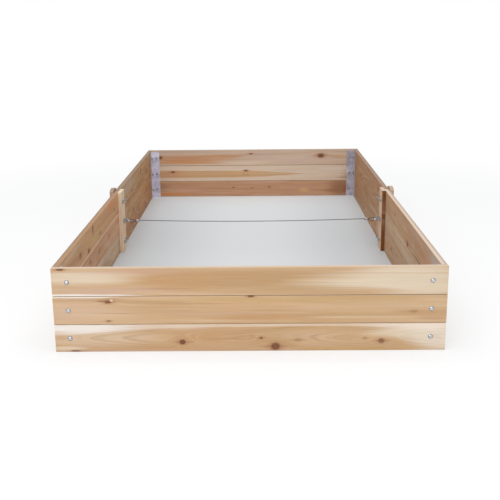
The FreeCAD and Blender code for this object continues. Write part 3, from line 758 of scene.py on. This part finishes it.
# Stakes: u runs along Z and v along Y
STAKES = {
    # Painted shade on the left inner stake's side that faces +X, into the bed
    "inner_stake_left": dict(
        base=colour(246, 219, 186), second=colour(234, 203, 168), light=colour(250, 232, 208), contrast=0.5,
        knots=((-60, 12, 12, 7, 0.5),),
        ends=(colour(232, 212, 188), colour(200, 172, 144)),
        face=("X", 1, colour(212, 188, 164), 0.85)),
    # The right inner stake's dark brown is painted shade; its side that faces -X keeps the lit tone
    "inner_stake_right": dict(
        base=colour(120, 68, 27), second=colour(108, 59, 23), light=colour(138, 86, 42), contrast=0.9,
        knots=((20, -40, 14, 8, 0.8),),
        ends=(colour(232, 214, 194), colour(204, 178, 152)),
        face=("X", -1, colour(226, 197, 166), 0.95)),
    "outer_stake_left": dict(
        base=colour(164, 138, 122), second=colour(152, 122, 104), light=colour(184, 160, 142), contrast=0.9,
        ends=(colour(172, 150, 136), colour(136, 112, 98))),
    "outer_stake_right": dict(
        base=colour(184, 160, 134), second=colour(174, 146, 116), light=colour(204, 184, 164), contrast=0.8,
        ends=(colour(196, 174, 150), colour(156, 132, 108))),
}


def dress_wood():
    seed = FIRST_SEED
    for boards, axes, rosy in ((END_BOARDS, "XZY", END_ROSY), (SIDE_BOARDS, "YZX", SIDE_ROSY),
                               (STAKES, "ZYX", END_ROSY)):
        for name, looks in boards.items():
            seed += SEED_STEP
            dress(name, cedar("cedar_" + name, axes, middle_of(name), seed, rosy, **looks))


dress_wood()


# ---- Metal -----------------------------------------------------------------------------------------------
RIM_PAINTED_SHADE = colour(56, 56, 60)


def metal(name, tone, dark, roughness, grain, metallic, rim=0.0):
    """Plated or drawn metal with a faint cloudy bloom, whose grain is in millimetres.

    The rim is how much painted shade darkens what slopes away, as a dark reflection round a bolt's head.
    """
    g = Graph(name)
    x, y, z = [g.times(part, MM_PER_METRE / grain) for part in g.parts("ShaderNodeTexCoord", "Object")]
    normal = g.parts("ShaderNodeNewGeometry", "True Normal")
    cloud = g.noise(x, y, z, 3.0, 0.6)
    scratch = g.noise(g.times(x, 6.0), g.times(y, 6.0), g.times(z, 0.5), 2.0)
    facing = g.math("MAXIMUM", g.math("ABSOLUTE", normal[0]), g.math("ABSOLUTE", normal[1]))
    shade = g.mix(g.step(cloud, 0.35, 0.68), dark, tone)
    # Painted shade: darker where the surface turns away from the X and Y axes, as a dark reflection round a
    # bolt head's rim
    shade = g.mix(g.step(facing, 0.66, 0.96, rim, 0.0), shade, RIM_PAINTED_SHADE)
    g.feed(g.shader.inputs["Base Color"], shade)
    g.shader.inputs["Metallic"].default_value = metallic
    wear = g.add(cloud, g.times(scratch, 0.4))
    g.feed(g.shader.inputs["Roughness"], g.step(wear, 0.4, 0.9, roughness, roughness + 0.16))
    g.bump(scratch, 0.25, 0.0002)
    return g.material


# Tone, darker tone, roughness, grain, how metallic, and rim of painted shade
METAL_LOOKS = {
    "zinc_brackets": (colour(230, 228, 241), colour(190, 187, 205), 0.5, 45.0, 0.45),
    # Painted shade: a darker copy of the brackets' zinc, for the back right bracket
    "zinc_bracket_shaded": (colour(204, 199, 208), colour(166, 161, 174), 0.54, 40.0, 0.45),
    "zinc_fasteners": (colour(226, 227, 230), colour(176, 178, 184), 0.16, 4.0, 0.8, 0.65),
    "rope_steel": (colour(112, 114, 120), colour(76, 78, 86), 0.34, 5.0, 0.8),
    "aluminium": (colour(200, 202, 206), colour(160, 162, 168), 0.34, 5.0, 0.8),
}
METALS = {name: metal(name, *looks) for name, looks in METAL_LOOKS.items()}


def dress_metal():
    for name in nodes:
        # the back right bracket takes the painted-shade copy of the zinc
        if name == "corner_bracket_back_right":
            dress(name, METALS["zinc_bracket_shaded"])
        elif name.startswith("corner_bracket"):
            dress(name, METALS["zinc_brackets"])
        elif "bolt" in name or "nuts" in name or "washers" in name:
            dress(name, METALS["zinc_fasteners"])
        elif name.startswith("tie_ferrule"):
            dress(name, METALS["aluminium"])
    rope.data.materials.append(METALS["rope_steel"])
    threads.data.materials.append(METALS["zinc_fasteners"])


dress_metal()


# ---- Floor and light, in metres --------------------------------------------------------------------------
FLOOR_SIZE = 60.0
FLOOR_WHITE = colour(248, 250, 252)
SHADE_SIDES_NEAR, SHADE_SIDES_FAR = colour(199, 203, 206), colour(214, 219, 223)         # inside the bed: painted shade, darker towards the side walls and towards the front
SHADE_MIDDLE_NEAR, SHADE_MIDDLE_FAR = colour(214, 217, 219), colour(224, 228, 230)
INSIDE_X, INSIDE_Y = (0.595, 0.605), (1.222, 1.236)      # under the walls, where the painted shade ends
WHITENS = (1.2, 3.2)         # from the bed's middle
WHITENS_BEFORE = (-1.36, -1.25)          # in front of the bed
WORLD_LIGHT = 0.61
PLAIN_WHITE = 1.0


def ray_is_seen(tree):
    """1 for what the camera, a reflection or glass sees, and 0 for light that falls on the object."""
    path = tree.nodes.new("ShaderNodeLightPath")
    seen = path.outputs["Is Camera Ray"]
    for name in ("Is Glossy Ray", "Is Transmission Ray"):
        larger = tree.nodes.new("ShaderNodeMath")
        larger.operation = "MAXIMUM"
        tree.links.new(seen, larger.inputs[0])
        tree.links.new(path.outputs[name], larger.inputs[1])
        seen = larger.outputs[0]
    return seen


def add_floor():
    """Pale floor: light grey inside the bed as painted shade, darker towards the side walls and the front,
    and white round it with a soft shadow.
    """
    bpy.ops.mesh.primitive_plane_add(size=FLOOR_SIZE, location=(0, 0, 0))
    floor = bpy.context.object
    floor.name = "floor"
    g = Graph("floor_pale")
    g.shader.inputs["Roughness"].default_value = 0.9
    g.shader.inputs["Specular IOR Level"].default_value = 0.1
    place = g.parts("ShaderNodeTexCoord", "Object")
    x, y = g.math("ABSOLUTE", place[0]), g.math("ABSOLUTE", place[1])
    inside = g.times(g.step(x, *INSIDE_X, 1.0, 0.0), g.step(y, *INSIDE_Y, 1.0, 0.0))
    # Painted shade inside the bed: the grey darkens towards the side walls and towards the front
    back = g.step(place[1], 0.1, 1.2)
    sides = g.mix(back, SHADE_SIDES_NEAR, SHADE_SIDES_FAR)
    middle = g.mix(back, SHADE_MIDDLE_NEAR, SHADE_MIDDLE_FAR)
    grey = g.mix(g.step(x, 0.05, 0.5), middle, sides)
    g.feed(g.shader.inputs["Base Color"], g.mix(inside, FLOOR_WHITE, grey))
    away = g.length(place[0], place[1])
    far = g.step(away, *WHITENS, 0.6, 1.0)
    before = g.step(place[1], *WHITENS_BEFORE, 0.85, 0.0)
    outside = g.math("SUBTRACT", 1.0, inside)
    lift = g.times(g.times(ray_is_seen(g.tree), outside), g.math("MAXIMUM", far, before))
    white = g.node("ShaderNodeEmission")
    blend = g.node("ShaderNodeMixShader")
    g.feed(blend.inputs[0], lift)
    g.feed(blend.inputs[1], g.shader.outputs[0])
    g.feed(blend.inputs[2], white.outputs[0])
    g.feed(g.output.inputs["Surface"], blend.outputs[0])
    floor.data.materials.append(g.material)


def plain_light(tree, strength):
    background = tree.nodes.new("ShaderNodeBackground")
    background.inputs["Color"].default_value = (1.0, 1.0, 1.0, 1.0)
    background.inputs["Strength"].default_value = strength
    return background


def add_world():
    """White to the eye, softer as light."""
    world = bpy.data.worlds.new("world")
    bpy.context.scene.world = world
    world.use_nodes = True
    tree = world.node_tree
    tree.nodes.clear()
    output = tree.nodes.new("ShaderNodeOutputWorld")
    soft = plain_light(tree, WORLD_LIGHT)
    white = plain_light(tree, PLAIN_WHITE)
    blend = tree.nodes.new("ShaderNodeMixShader")
    tree.links.new(ray_is_seen(tree), blend.inputs[0])
    tree.links.new(soft.outputs[0], blend.inputs[1])
    tree.links.new(white.outputs[0], blend.inputs[2])
    tree.links.new(blend.outputs[0], output.inputs["Surface"])


def add_lamp(name, place, target, width, height, watts):
    data = bpy.data.lights.new(name, "AREA")
    data.shape = "RECTANGLE"
    data.size = width
    data.size_y = height
    data.energy = watts
    lamp = bpy.data.objects.new(name, data)
    bpy.context.scene.collection.objects.link(lamp)
    lamp.location = place
    lamp.rotation_mode = "QUATERNION"
    lamp.rotation_quaternion = (Vector(target) - Vector(place)).to_track_quat("-Z", "Y")


add_floor()
add_world()
add_lamp("overhead", (0.0, -0.4, 3.6), (0.0, 0.0, 0.0), 3.5, 4.5, 68.0)
add_lamp("front", (-1.2, -4.6, 2.6), (0.0, -1.0, 0.2), 3.0, 2.0, 50.0)

bpy.context.scene.view_settings.view_transform = "Standard"
